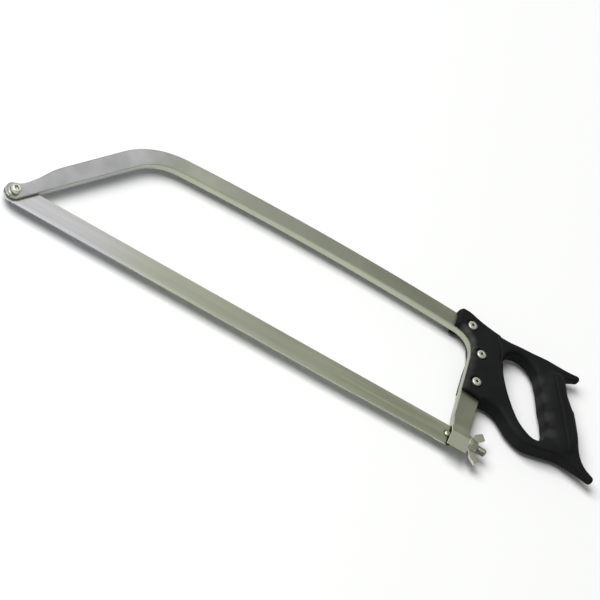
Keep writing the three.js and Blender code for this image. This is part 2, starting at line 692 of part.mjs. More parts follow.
function makeFrontNut() {
  const seat = -halfTube - CLEARANCE;
  return hexagon(NUT_ACROSS, seat - NUT_THICKNESS, seat)
    .subtract(rod(boltHole, seat - NUT_THICKNESS - OVERCUT, seat + OVERCUT));
}

function makeFrontSpacer() {
  const bottom = bladeHalf + CLEARANCE;
  const top = slotHalf - CLEARANCE;
  return rod(SPACER_DIAMETER, bottom, top)
    .subtract(rod(boltHole, bottom - OVERCUT, top + OVERCUT));
}

// Materials
function paint(color, roughness, metalness) {
  return new THREE.MeshStandardMaterial({ color, roughness, metalness });
}

const satinSteel = paint(0xa9aaa2, 0.38, 1);
const bladeSteel = paint(0xb4b4ac, 0.32, 1);
const nickel = paint(0xc9c6ba, 0.28, 1);
const blackPlastic = paint(0x17181a, 0.5, 0);

function piece(name, body, material) {
  const mesh = new THREE.Mesh(geometryOf(body), material);
  mesh.name = name;
  return mesh;
}

// The saw: fixed pieces, the swinging blade, and the tensioner
const saw = new THREE.Group();
saw.add(piece('frame', makeFrame(), satinSteel));
saw.add(piece('handle', makeHandle(), blackPlastic));
screwPlaces.forEach(({ x, y }, index) => {
  const fixing = new THREE.Group();
  fixing.position.set(x, y, 0);
  fixing.add(piece(`handle_screw_${index + 1}`, makeHandleScrew(), nickel));
  fixing.add(piece(`handle_sleeve_${index + 1}`, makeHandleSleeve(), nickel));
  saw.add(fixing);
});

const pivot = new THREE.Group();
const farSpacer = piece('front_spacer_far', makeFrontSpacer(), satinSteel);
farSpacer.rotation.x = Math.PI;
pivot.add(piece('front_bolt', makeFrontBolt(), nickel));
pivot.add(piece('front_nut', makeFrontNut(), nickel));
pivot.add(piece('front_spacer_near', makeFrontSpacer(), satinSteel));
pivot.add(farSpacer);
saw.add(pivot);

const pin = piece('blade_pin', makeBladePin(), nickel);
pin.position.set(BLADE_SPAN, PIN_LINE, 0);
saw.add(piece('blade', makeBlade(), bladeSteel));
saw.add(pin);

const tensioner = new THREE.Group();
tensioner.add(piece('draw_bolt', makeDrawBolt(), nickel));
tensioner.add(piece('thrust_washer', makeThrustWasher(), satinSteel));
tensioner.add(piece('wing_nut', makeWingNut(), nickel));
saw.add(tensioner);

// Set down on the lowest face, with the origin under the middle
const reach = new THREE.Box3().setFromObject(saw);
const middle = reach.getCenter(new THREE.Vector3());
saw.position.set(-middle.x, -middle.y, -reach.min.z);

export default saw;
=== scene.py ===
"""Looks of the butcher saw: smooth skins, screw threads, set teeth, materials, light and camera."""
import json
import math

import bmesh
import bpy
import numpy as np
from mathutils import Matrix, Vector


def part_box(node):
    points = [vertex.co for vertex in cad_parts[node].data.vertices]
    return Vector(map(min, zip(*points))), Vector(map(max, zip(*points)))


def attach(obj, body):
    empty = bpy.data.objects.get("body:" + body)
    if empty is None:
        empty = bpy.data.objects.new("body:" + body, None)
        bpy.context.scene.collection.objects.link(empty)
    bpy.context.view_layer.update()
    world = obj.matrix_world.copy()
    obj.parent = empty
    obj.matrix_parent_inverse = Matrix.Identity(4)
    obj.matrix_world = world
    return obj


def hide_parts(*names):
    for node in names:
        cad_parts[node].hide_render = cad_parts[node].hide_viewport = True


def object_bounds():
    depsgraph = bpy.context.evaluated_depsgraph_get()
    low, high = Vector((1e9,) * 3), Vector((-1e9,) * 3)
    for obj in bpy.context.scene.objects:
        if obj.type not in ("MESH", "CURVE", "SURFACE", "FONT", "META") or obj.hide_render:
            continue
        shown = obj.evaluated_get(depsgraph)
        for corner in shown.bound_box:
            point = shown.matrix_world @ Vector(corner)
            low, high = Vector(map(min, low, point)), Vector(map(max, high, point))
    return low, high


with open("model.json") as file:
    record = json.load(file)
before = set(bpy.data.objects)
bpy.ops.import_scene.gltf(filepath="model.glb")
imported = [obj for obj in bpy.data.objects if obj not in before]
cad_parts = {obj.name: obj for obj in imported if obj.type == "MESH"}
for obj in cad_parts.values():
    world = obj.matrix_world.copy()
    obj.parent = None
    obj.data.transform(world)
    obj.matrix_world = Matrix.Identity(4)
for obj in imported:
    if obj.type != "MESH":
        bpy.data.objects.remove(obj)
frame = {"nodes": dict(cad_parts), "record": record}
cad_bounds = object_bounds()
nodes = frame["nodes"]
slots = {entry["node"]: entry["material_slot"] for entry in frame["record"]["subparts"]}
bodies = {node: body for body, names in frame["record"]["behaviour"]["bodies"].items() for node in names}
joints = {joint["name"]: joint for joint in frame["record"]["behaviour"]["joints"]}
pivot = Vector(joints["blade_swing"]["pos_m"])
MM = 0.001

# Relief, painted highlights and painted shade on both sides of the handle, as places behind the frame and
# above the front bolt, in mm.
# The painted highlight along the front edge is brightest at its first points, round the heel
FINGER_PADS = ((51.7, 117.2), (61.0, 99.8), (70.8, 80.1), (78.2, 61.5))
PALM_LINES = (
    ((64.3, 133), (79.8, 99.5), (99.3, 55.2)),
    ((71.1, 129), (83.2, 108.6), (94.1, 85.3), (100.9, 66.3)),
)
PANEL_LINE = ((-2.5, 141), (-0.4, 136.7), (3.5, 132.5), (6.6, 126), (7.6, 120.4), (8.5, 112))
PANEL_END = ((-2, 158), (1, 144), (6, 133))
TIPS = ((92.3, 148.8), (133.5, 40.7))
# The painted highlight on the bow's rounded surface
BOW = (36.8, 31.9)
FRONT_EDGE = (
    (-35, 127), (-28, 119), (-24.5, 110),
    (-22.5, 100), (-22, 90), (-22, 80), (-22, 70), (-22, 62),
)
HEEL_POINTS = 3
HANDLE_SCREWS = ("handle_screw_1", "handle_screw_2", "handle_screw_3")
HANDLE_SLEEVES = ("handle_sleeve_1", "handle_sleeve_2", "handle_sleeve_3")
SEAT_RADIUS = 5.6
SEAT_WIDTH = 0.7
SEAT_DEPTH = 0.9

# The frame's places and distances along the bar and up from the front bolt, in mm. The arm runs from the
# nose to the front bend
FRONT_BEND = (114, 122)
OLIVE_FROM = (100, 170)
ARM = np.array((0.682, 0.731))
ACROSS_ARM = np.array((-ARM[1], ARM[0]))
TAPER_FULLNESS = 2.05
TAPER_RISE, TAPER_FALL = (4, 32), (38, 58)
NOSE_RIM = (8.5, 10)
RIM_PRESS = 1
REAR_ARM_FORWARD = 2.1
REAR_ARM_FACE = (480, 505)
REAR_ARM_TOP = 128
REAR_ARM_LEVELS = (26, 60)
REAR_ARM_RISE, REAR_ARM_FALL = (14, 26), (106, 127)

# The front edge of the handle's cheeks, likewise
LIP = 2.9
LIP_FADE = (501, 508)
LIP_RISE, LIP_FALL = (45, 55), (110, 134)
FAR_LIP_LOSS = 0.3
FAR_LIP_FADE = (84, 100)
HEEL_DRAW = np.array((1.6, 2.0))
HEEL_FADE = (3, 9)
HEEL_RISE, HEEL_FALL = (112, 124), (134, 144)
TOP_CORNER = np.array((480, 150))
CORNER_FADE = (2, 9)
CORNER_PULL = np.array((-2.6, -0.4))

# How often each step of the handle's moulding is smoothed
VOXEL_ROUNDS = 6
PANEL_END_ROUNDS = 60
SIDE_ROUNDS = 90
GRIP_ROUNDS = 420


def centre_of(node):
    low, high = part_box(node)
    return (low + high) / 2


def on_handle(x, y):
    """A place on the handle, in the saw's plane."""
    return np.array((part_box("frame")[1].x + x * MM, pivot.y + y * MM))


class Surface:
    """A node material: its shader, and short calls for what feeds it."""

    def __init__(self, name):
        self.material = bpy.data.materials.new(name)
        self.material.use_nodes = True
        self.tree = self.material.node_tree
        self.shader = self.tree.nodes["Principled BSDF"]
        self.position = self.tree.nodes.new("ShaderNodeTexCoord").outputs["Object"]

    def node(self, kind, result, settings=None, **inputs):
        made = self.tree.nodes.new(kind)
        for key, value in (settings or {}).items():
            setattr(made, key, value)
        for key, value in inputs.items():
            self.put(made.inputs[key.replace("_", " ")], value)
        return made.outputs[result]

    def put(self, socket, value):
        if isinstance(value, bpy.types.NodeSocket):
            self.tree.links.new(value, socket)
        else:
            socket.default_value = value

    def stretched(self, scale):
        return self.node("ShaderNodeMapping", "Vector", Vector=self.position, Scale=scale)

    def noise(self, scale, detail=3.0, where=None):
        where = self.position if where is None else where
        return self.node("ShaderNodeTexNoise", "Fac", Vector=where, Scale=scale, Detail=detail)

    def ramp(self, fac, low, high, from_min=0.3, from_max=0.7):
        made = self.tree.nodes.new("ShaderNodeMapRange")
        self.put(made.inputs["Value"], fac)
        limits = {"From Min": from_min, "From Max": from_max, "To Min": low, "To Max": high}
        for key, value in limits.items():
            made.inputs[key].default_value = value
        return made.outputs["Result"]

    def blend(self, fac, low, high, kind="MIX"):
        made = self.tree.nodes.new("ShaderNodeMix")
        made.data_type = "RGBA"
        made.blend_type = kind
        self.put(made.inputs["Factor"], fac)
        for socket, value in zip([s for s in made.inputs if s.type == "RGBA"], (low, high)):
            self.put(socket, value)
        return next(s for s in made.outputs if s.type == "RGBA")

    def ball(self, centre, inner, outer, where=None):
        """1 within a distance of a point, falling to 0 at a larger one."""
        where = self.position if where is None else where
        moved = self.node("ShaderNodeVectorMath", "Vector", {"operation": "SUBTRACT"}, Vector=where)
        moved.node.inputs[1].default_value = centre
        reach = self.node("ShaderNodeVectorMath", "Value", {"operation": "LENGTH"}, Vector=moved)
        return self.ramp(reach, 1, 0, inner, outer)

    def bump(self, height, strength, distance):
        normal = self.node("ShaderNodeBump", "Normal", Height=height, Strength=strength, Distance=distance)
        self.put(self.shader.inputs["Normal"], normal)

    def set(self, **values):
        for key, value in values.items():
            self.put(self.shader.inputs[key.replace("_", " ")], value)


def olive(surface, color):
    """Painted reflection colour: steel is a little blue near the nose, where the sheen is reflected, and a
    little olive from the front bend on.
    """
    along = surface.node("ShaderNodeSeparateXYZ", "X", Vector=surface.position)
    start, end = OLIVE_FROM
    share = surface.ramp(along, 0, 1, pivot.x + start * MM, pivot.x + end * MM)
    # Painted reflection colour, bluish where the sheen is reflected and olive further back
    tint = surface.blend(share, (1.007, 1, 1.063, 1), (0.974, 1, 0.872, 1))
    return surface.blend(1, color, tint, "MULTIPLY")


def satin_steel():
    """Satin stainless tube: soft clouds in tone and gloss over a fine grain, with painted highlights
    making the front bend and the pressed socket paler; the socket is also rougher."""
    surface = Surface("satin_steel")
    cloud = surface.noise(14, 4)
    grain = surface.noise(1, 3, surface.stretched((160, 1500, 1500)))
    plain = surface.blend(surface.ramp(cloud, 0, 1), (0.41, 0.42, 0.375, 1), (0.475, 0.485, 0.437, 1))
    brushed = surface.blend(surface.ramp(grain, 0, 0.22), plain, (0.57, 0.58, 0.53, 1))
    x, y = FRONT_BEND
    side = surface.stretched((1, 1, 0))
    # Painted highlight: the front bend is paler
    bend = surface.ball((pivot.x + x * MM, pivot.y + y * MM, 0), 3 * MM, 18 * MM, side)
    painted_highlight = surface.blend(surface.ramp(bend, 0, 0.6, 0, 1), brushed, (0.66, 0.67, 0.62, 1))
    low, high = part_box("frame")
    # Painted highlight: the socket's cheek is paler, and it is also rougher
    socket = surface.ball((high.x - 10 * MM, low.y + 9 * MM, (low.z + high.z) / 2), 13 * MM, 26 * MM)
    gloss = surface.ramp(surface.noise(70, 4), 0.33, 0.43)
    surface.set(
        Base_Color=olive(surface, surface.blend(socket, painted_highlight, (0.69, 0.70, 0.655, 1))),
        Metallic=1,
        Roughness=surface.blend(socket, gloss, (0.5, 0.5, 0.5, 1)),
    )
    surface.bump(surface.noise(2600, 2), 0.10, 0.00004)
    return surface.material


def rolled_strip():
    """Blade strip: grain along its length, a brighter ground band above the teeth, and painted shade: a
    dark ring round the pin and a nearly black end where it lies in the socket."""
    surface = Surface("rolled_strip")
    grain = surface.noise(1, 4, surface.stretched((14, 900, 900)))
    streak = surface.noise(1, 2, surface.stretched((5, 190, 190)))
    cloud = surface.noise(9, 3)
    parts = surface.node("ShaderNodeSeparateXYZ", "Y", Vector=surface.position).node
    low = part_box("blade")[0]
    band = surface.ramp(parts.outputs["Y"], 0.75, 0, low.y + 1.5 * MM, low.y + 6.5 * MM)
    plain = surface.blend(surface.ramp(cloud, 0, 1), (0.525, 0.535, 0.475, 1), (0.60, 0.61, 0.55, 1))
    lined = surface.blend(surface.ramp(grain, 0, 0.45), plain, (0.69, 0.70, 0.65, 1))
    drawn = surface.blend(surface.ramp(streak, 0, 0.50), lined, (0.47, 0.48, 0.405, 1))
    ground = surface.blend(band, drawn, (0.73, 0.73, 0.70, 1))
    pin = centre_of("blade_pin")
    # Painted shade: a dark ring round the pin's head
    ring = surface.ball((pin.x, pin.y, 0), 3.4 * MM, 5.4 * MM, surface.stretched((1, 1, 0)))
    pin_shaded = surface.blend(surface.ramp(ring, 0, 0.8, 0, 1), ground, (0.07, 0.062, 0.05, 1))
    # Painted shadow: the end of the blade inside the socket is nearly black
    end = surface.ramp(parts.outputs["X"], 0, 0.95, pin.x + 0.3 * MM, pin.x + 1.6 * MM)
    surface.set(
        Base_Color=olive(surface, surface.blend(end, pin_shaded, (0.03, 0.029, 0.026, 1))),
        Metallic=1,
        Roughness=surface.ramp(grain, 0.29, 0.42),
    )
    surface.bump(grain, 0.10, 0.00003)
    return surface.material


def plated(name, dark, light, rough):
    """Plate on screws and nuts: satin, a little uneven, with painted shade darkening its recesses."""
    surface = Surface(name)
    cloud = surface.noise(220, 3)
    clean = surface.blend(surface.ramp(cloud, 0, 1), dark, light)
    local = {"samples": 8, "only_local": True}
    # Painted shade: the colour darkens in recesses that hide the surface
    open_share = surface.node("ShaderNodeAmbientOcclusion", "AO", local, Distance=2.5 * MM)
    recess_shade = (0.05, 0.05, 0.045, 1)
    surface.set(
        Base_Color=surface.blend(surface.ramp(open_share, 0, 1, 0.4, 0.8), recess_shade, clean),
        Metallic=1,
        Roughness=surface.ramp(surface.noise(900, 3), rough - 0.07, rough + 0.07),
    )
    surface.bump(surface.noise(1800, 2), 0.10, 0.00005)
    return surface.material


def black_plastic():
    """Moulded black plastic: a fine spark-eroded texture, with painted highlights on the bow, along the
    front edge and where the fingers lie, and painted shade in the seats round the screws."""
    surface = Surface("black_plastic")
    cloud = surface.noise(35, 4)
    dark, light = (0.0051, 0.0053, 0.0066, 1), (0.0077, 0.0080, 0.0098, 1)
    color = surface.blend(surface.ramp(cloud, 0, 1), dark, light)
    side = surface.stretched((1, 1, 0))
    # Painted highlight on the bow's rounded surface
    bow = surface.ball((*on_handle(*BOW), 0), 2 * MM, 20 * MM, side)
    color = surface.blend(bow, color, (0.0120, 0.0122, 0.0136, 1))
    # Painted highlight along the front edge's rounded bevel, brightest round the heel
    for index, point in enumerate(FRONT_EDGE):
        edge_highlight = surface.ball((*on_handle(*point), 0), 1.5 * MM, 8 * MM, side)
        at_heel = index < HEEL_POINTS
        tone = (0.044, 0.0445, 0.048, 1) if at_heel else (0.0215, 0.0218, 0.0240, 1)
        color = surface.blend(edge_highlight, color, tone)
    # Painted highlights on the finger pads
    for pad in FINGER_PADS:
        painted_highlight = surface.ball((*on_handle(*pad), 0), 2.5 * MM, 8 * MM, side)
        color = surface.blend(painted_highlight, color, (0.0185, 0.0188, 0.0205, 1))
    # Painted shade in the seats round the screws
    for node in HANDLE_SCREWS:
        screw = centre_of(node)
        inner, outer = SEAT_RADIUS * MM, (SEAT_RADIUS + 1.2) * MM
        seat = surface.ball((screw.x, screw.y, 0), inner, outer, side)
        color = surface.blend(surface.ramp(seat, 0, 0.9, 0, 1), color, (0.0010, 0.0010, 0.0013, 1))
    surface.set(
        Base_Color=color,
        Roughness=surface.ramp(surface.noise(90, 4), 0.62, 0.78),
        Specular_IOR_Level=0.1,
    )
    surface.bump(surface.noise(1500, 2), 0.22, 0.00006)
    return surface.material


looks = {
    "frame_steel": satin_steel(),
    "blade_steel": rolled_strip(),
    "nickel": plated("nickel", (0.64, 0.625, 0.565, 1), (0.74, 0.725, 0.665, 1), 0.49),
    "black_plastic": black_plastic(),
}
zinc = plated("zinc", (0.51, 0.51, 0.455, 1), (0.60, 0.60, 0.54, 1), 0.42)
dull_zinc = plated("dull_zinc", (0.33, 0.33, 0.30, 1), (0.40, 0.40, 0.365, 1), 0.46)
dull_nickel = plated("dull_nickel", (0.45, 0.455, 0.42, 1), (0.53, 0.535, 0.495, 1), 0.57)
OWN_FINISH = {"draw_bolt": dull_zinc, "wing_nut": zinc, "blade_pin": zinc}
OWN_FINISH.update({node: dull_nickel for node in HANDLE_SCREWS})


def stand_in(obj, node):
    """obj takes the place, body and finish of a solid."""
    obj.data.materials.clear()
    obj.data.materials.append(OWN_FINISH.get(node, looks[slots[node]]))
    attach(obj, bodies[node])
    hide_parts(node)
    return obj


def new_object(name, mesh):
    obj = bpy.data.objects.new(name, mesh)
    bpy.context.scene.collection.objects.link(obj)
    return obj


def welded_copy(node):
    """A copy of a solid's mesh with its corners welded and its flat faces joined up."""
    mesh = nodes[node].data.copy()
    made = bmesh.new()
    made.from_mesh(mesh)
    bmesh.ops.remove_doubles(made, verts=made.verts, dist=2e-6)
    bmesh.ops.dissolve_limit(made, angle_limit=math.radians(0.4), verts=made.verts, edges=made.edges)
    made.to_mesh(mesh)
    made.free()
    return new_object(node + "_skin", mesh)


def shade_smooth(obj, angle):
    for face in obj.data.polygons:
        face.use_smooth = True
    obj.data.set_sharp_from_angle(angle=math.radians(angle))


def smooth_skin(node, angle, edge=None):
    """A solid's own shape with soft shading, its sharp edges broken by a small bevel."""
    obj = welded_copy(node)
    if edge:
        bevel = obj.modifiers.new("edge", "BEVEL")
        bevel.width = edge
        bevel.segments = 2
        bevel.limit_method = "ANGLE"
        bevel.angle_limit = math.radians(angle)
    shade_smooth(obj, angle)
    obj.modifiers.new("normals", "WEIGHTED_NORMAL").keep_sharp = True
    return stand_in(obj, node)


def apply_modifiers(obj):
    bpy.context.view_layer.update()
    shaped = bpy.data.meshes.new_from_object(obj.evaluated_get(bpy.context.evaluated_depsgraph_get()))
    obj.modifiers.clear()
    obj.data = shaped


def relax(obj, rounds, weights=None, heights_only=False):
    """Smooths a mesh, by weights where they are given. Heights alone make sides grow round inside the
    same outline."""
    smooth = obj.modifiers.new("relax", "SMOOTH")
    smooth.use_x = smooth.use_y = not heights_only
    smooth.factor = 0.5
    smooth.iterations = rounds
    if weights is not None:
        group = obj.vertex_groups.new(name="relax")
        for index in np.nonzero(weights)[0]:
            group.add([int(index)], weights[index], "REPLACE")
        smooth.vertex_group = group.name
    apply_modifiers(obj)
    obj.vertex_groups.clear()


def points_of(mesh):
    flat = np.empty(3 * len(mesh.vertices))
    mesh.vertices.foreach_get("co", flat)
    return flat.reshape(-1, 3)


def step(value, low, high):
    """0 below low and 1 above high, with a smooth run between them."""
    share = np.clip((value - low) / (high - low), 0, 1)
    return share * share * (3 - 2 * share)


def between(value, rise, fall):
    """1 between a rise and a fall, and 0 outside them."""
    return step(value, *rise) * (1 - step(value, *fall))


def from_bolt(points):
    """Places along the bar and up from the front bolt, in mm."""
    return (points[:, :2] - np.array(pivot)[:2]) / MM


def gap_to(flat, path):
    """Distance of points in the saw's plane from a path of straight runs."""
    least = np.full(len(flat), np.inf)
    for start, end in zip(path, path[1:]):
        run = end - start
        share = np.clip((flat - start) @ run / (run @ run), 0, 1)
        least = np.minimum(least, np.linalg.norm(flat - start - share[:, None] * run, axis=1))
    return least


def crease(flat, path, width, depth):
    """Depth of a soft crease along a path."""
    gap = gap_to(flat, [on_handle(*point) for point in path])
    return depth * np.exp(-(gap / width) ** 2)


def finger_pad(flat, middle, along, half, depth):
    """Depth of a squarish dish, deepest towards its upper end."""
    offset = (flat - middle) / half
    down = offset @ along
    across = offset @ np.array((-along[1], along[0]))
    reach = np.abs(down) ** 3 + np.abs(across) ** 3
    return depth * np.clip(1 - reach, 0, 1) ** 1.5 * (1 - 0.4 * np.clip(down, -1, 1))


def press_relief(points, middle):
    """Presses the panel line, the palm lines, the finger pads and the screws' seats into both sides."""
    flat = points[:, :2]
    pads = [on_handle(*pad) for pad in FINGER_PADS]
    along = (pads[-1] - pads[0]) / np.linalg.norm(pads[-1] - pads[0])
    dent = crease(flat, PANEL_LINE, width=0.9 * MM, depth=1.0 * MM)
    for line in PALM_LINES:
        dent += crease(flat, line, width=1.5 * MM, depth=0.7 * MM)
    for pad in pads:
        dent += finger_pad(flat, pad, along, half=8 * MM, depth=1.3 * MM)
    for node in HANDLE_SCREWS:
        screw = centre_of(node)
        reach = np.linalg.norm(flat - np.array((screw.x, screw.y)), axis=1) / MM
        dent += SEAT_DEPTH * MM * np.exp(-((reach - SEAT_RADIUS) / SEAT_WIDTH) ** 2)
    height = points[:, 2] - middle
    points[:, 2] -= np.sign(height) * dent * step(np.abs(height), 6 * MM, 8 * MM)


def shape_front(points, middle):
    """Brings the front edge and the top corner of the cheeks forward, and draws the far cheek in at the
    heel, where only a thin line of it shows."""
    flat = from_bolt(points)
    along, up = flat.T
    far = points[:, 2] < middle
    lip = (1 - step(along, *LIP_FADE)) * between(up, LIP_RISE, LIP_FALL)
    lip[far] *= 1 - FAR_LIP_LOSS * step(up[far], *FAR_LIP_FADE)
    points[:, 0] -= LIP * MM * lip
    edge = gap_to(points[:, :2], [on_handle(*point) for point in FRONT_EDGE]) / MM
    heel = far * (1 - step(edge, *HEEL_FADE)) * between(up, HEEL_RISE, HEEL_FALL)
    corner = 1 - step(np.linalg.norm(flat - TOP_CORNER, axis=1), *CORNER_FADE)
    points[:, :2] += (heel[:, None] * HEEL_DRAW + corner[:, None] * CORNER_PULL) * MM


def handle_skin(node, voxel):
    """The handle as one moulded skin: remeshed finely, rounded, with a swelling grip, and then with its
    relief pressed in and its front shaped."""
    obj = welded_copy(node)
    remesh = obj.modifiers.new("remesh", "REMESH")
    remesh.mode = "VOXEL"
    remesh.voxel_size = voxel
    apply_modifiers(obj)
    relax(obj, VOXEL_ROUNDS)
    middle = centre_of(node).z
    points = points_of(obj.data)
    panel_end = gap_to(points[:, :2], [on_handle(*point) for point in PANEL_END])
    cheek = step(np.abs(points[:, 2] - middle), 9 * MM, 11.5 * MM)
    relax(obj, PANEL_END_ROUNDS, cheek * (1 - step(panel_end, 2.5 * MM, 6 * MM)))
    flat = points_of(obj.data)[:, :2]
    behind = step(flat[:, 0], on_handle(6, 0)[0], on_handle(18, 0)[0])
    for tip in TIPS:
        behind *= step(np.linalg.norm(flat - on_handle(*tip), axis=1), 5 * MM, 20 * MM)
    relax(obj, SIDE_ROUNDS, behind, heights_only=True)
    points = points_of(obj.data)
    thick = step(np.abs(points[:, 2] - middle), 8 * MM, 11 * MM)
    grip = step(points[:, 0], on_handle(44, 0)[0], on_handle(54, 0)[0])
    relax(obj, GRIP_ROUNDS, thick * grip, heights_only=True)
    points = points_of(obj.data)
    press_relief(points, middle)
    shape_front(points, middle)
    obj.data.vertices.foreach_set("co", points.ravel())
    obj.data.update()
    for face in obj.data.polygons:
        face.use_smooth = True
    return stand_in(obj, node)


def bent_tube(node, angle):
    """The frame's own shape with a slightly fuller taper behind the nose, the inner face of the rear arm
    further forward, and the rims of the slotted nose pressed in towards the blade."""
    obj = welded_copy(node)
    cut = bmesh.new()
    cut.from_mesh(obj.data)
    for level in REAR_ARM_LEVELS:
        geometry = cut.verts[:] + cut.edges[:] + cut.faces[:]
        line = (0, pivot.y + level * MM, 0)
        bmesh.ops.bisect_plane(cut, geom=geometry, plane_co=line, plane_no=(0, 1, 0))
    cut.to_mesh(obj.data)
    cut.free()
    points = points_of(obj.data)
    flat = from_bolt(points)
    along, up = flat.T
    above = flat @ ACROSS_ARM > 0
    fuller = TAPER_FULLNESS * between(flat @ ARM, TAPER_RISE, TAPER_FALL) * above
    face = (along > REAR_ARM_FACE[0]) & (along < REAR_ARM_FACE[1]) & (up < REAR_ARM_TOP)
    forward = REAR_ARM_FORWARD * between(up, REAR_ARM_RISE, REAR_ARM_FALL) * face
    points[:, :2] += fuller[:, None] * ACROSS_ARM * MM
    points[:, 0] -= forward * MM
    height = points[:, 2] - centre_of(node).z
    reach = np.linalg.norm(flat, axis=1)
    rim = (reach > NOSE_RIM[0]) & (reach < NOSE_RIM[1])
    rim &= np.abs(height) < np.abs(height[rim]).min() + 0.1 * MM
    points[rim, 2] -= np.sign(height[rim]) * RIM_PRESS * MM
    obj.data.vertices.foreach_set("co", points.ravel())
    obj.data.update()
    shade_smooth(obj, angle)
    obj.modifiers.new("normals", "WEIGHTED_NORMAL").keep_sharp = True
    return stand_in(obj, node)


def hexagon_radius(across):
    """Distance from the middle to a hexagon's edge, as a function of the angle."""
    return lambda turn: across / 2 / math.cos((turn + math.pi / 6) % (math.pi / 3) - math.pi / 6)


def ring_stack(name, rings, sides, closed=False):
    """A skin through rings about Z. A ring is (radius, height); its radius may depend on the angle,
    and a radius of 0 closes the end."""
    made = bmesh.new()
    rows = []
    for radius, height in rings:
        if radius == 0:
            rows.append([made.verts.new((0, 0, height))])
            continue
        turns = [2 * math.pi * i / sides for i in range(sides)]
        radii = [radius(turn) if callable(radius) else radius for turn in turns]
        places = [(r * math.cos(t), r * math.sin(t), height) for r, t in zip(radii, turns)]
        rows.append([made.verts.new(corner) for corner in places])
    followers = rows[1:] + rows[:1] if closed else rows[1:]
    for low, high in zip(rows, followers):
        for i in range(sides):
            under = [low[i % len(low)], low[(i + 1) % len(low)]]
            over = [high[(i + 1) % len(high)], high[i % len(high)]]
            made.faces.new(list(dict.fromkeys(under + over)))
    bmesh.ops.recalc_face_normals(made, faces=made.faces)
    mesh = bpy.data.meshes.new(name)
    made.to_mesh(mesh)
    made.free()
    return new_object(name, mesh)


def turned(node, rings, sides, angle, closed=False):
    """A piece through rings, standing where its solid stands."""
    obj = ring_stack(node + "_skin", rings, sides, closed)
    shade_smooth(obj, angle)
    middle = centre_of(node)
    obj.data.transform(Matrix.Translation((middle.x, middle.y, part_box(node)[0].z)))
    return stand_in(obj, node)


def thread(diameter, pitch, depth, height):
    """Radius of a screw thread at a height, as a function of the angle."""
    def radius(turn):
        phase = (height / pitch - turn / (2 * math.pi)) % 1
        crest = min(1, max(0, 1.35 * (1 - abs(2 * phase - 1)) - 0.15))
        return diameter / 2 - depth * (1 - crest)
    return radius


def threaded(diameter, pitch, depth, start, end, steps=9):
    count = max(2, round((end - start) / pitch * steps))
    return [
        (thread(diameter, pitch, depth, height), height)
        for height in (start + (end - start) * i / count for i in range(count + 1))
    ]


def socket_screw(node, shank, head_height, across, sink, rim, pitch):
    """A button-head screw along Z with a hexagon socket and a threaded shank."""
    low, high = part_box(node)
    radius = (high.x - low.x) / 2
    top = high.z - low.z
    seat = top - head_height
    shoulder = 0.3 * radius
    crown = head_height - rim - 0.12 * MM
    dome = [
        (radius - shoulder * (1 - math.cos(t)), seat + rim + crown * math.sin(t))
        for t in (math.radians(a) for a in (0, 15, 30, 45, 60, 75, 90))
    ]
    mouth = across / 2 * 1.22
    rings = [
        (0, 0), (shank / 2 - 0.35 * MM, 0),
        *threaded(shank, pitch, 0.3 * MM, 0.4 * MM, seat - 0.6 * MM),
        (shank / 2, seat - 0.3 * MM), (shank / 2, seat),
        (radius - 0.15 * MM, seat), (radius, seat + 0.15 * MM),
        *dome,
        (mouth, top - 0.06 * MM), (hexagon_radius(across), top - 0.28 * MM),
        (hexagon_radius(across), top - sink), (across * 0.3, top - sink - 0.12 * MM),
        (0, top - sink - 0.5 * MM),
    ]
    return turned(node, rings, 48, 38)


def sleeve_nut(node, head_height, barrel, across, sink):
    """The blind sleeve that takes a handle screw, its low head on the far side."""
    low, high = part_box(node)
    radius = (high.x - low.x) / 2
    length = high.z - low.z
    bore = barrel / 2 - 0.75 * MM
    rings = [
        (0, sink), (hexagon_radius(across), sink),
        (hexagon_radius(across), 0.15 * MM), (across * 0.62, 0),
        (radius - 0.5 * MM, 0), (radius - 0.12 * MM, 0.22 * MM),
        (radius, 0.55 * MM), (radius, head_height),
        (barrel / 2, head_height), (barrel / 2, length - 0.2 * MM), (barrel / 2 - 0.2 * MM, length),
        (bore, length), (bore, head_height + 4 * MM), (0, head_height + 3.4 * MM),
    ]
    return turned(node, rings, 48, 38)


def hexagon_nut(node, bore):
    """A chamfered hexagon nut along Z."""
    low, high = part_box(node)
    across = high.x - low.x
    height = high.z - low.z
    flat = hexagon_radius(across)

    def chamfered(limit):
        return lambda turn: min(flat(turn + math.pi / 6), limit)

    levels = [(0, 0.485), (0.25, 0.512), (0.5, 0.54), (0.8, 0.58)]
    under = [(chamfered(across * share), depth * MM) for depth, share in levels]
    over = [(radius, height - level) for radius, level in reversed(under)]
    radius, mouth = bore / 2, bore / 2 + 0.35 * MM
    inside = [(mouth, height), (radius, height - 0.4 * MM), (radius, 0.4 * MM), (mouth, 0)]
    return turned(node, under + over + inside, 72, 25, closed=True)


def set_blade(node, first, pitch, lean):
    """The blade with its teeth bent to either side in turn."""
    obj = welded_copy(node)
    low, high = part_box(node)
    middle = (low.y + high.y) / 2
    for vertex in obj.data.vertices:
        tooth = (vertex.co.x - pivot.x - first) / pitch
        if vertex.co.y < middle and tooth > -0.5 and abs(tooth - round(tooth)) < 0.02:
            vertex.co.z += lean if round(tooth) % 2 else -lean
    shade_smooth(obj, 20)
    return stand_in(obj, node)


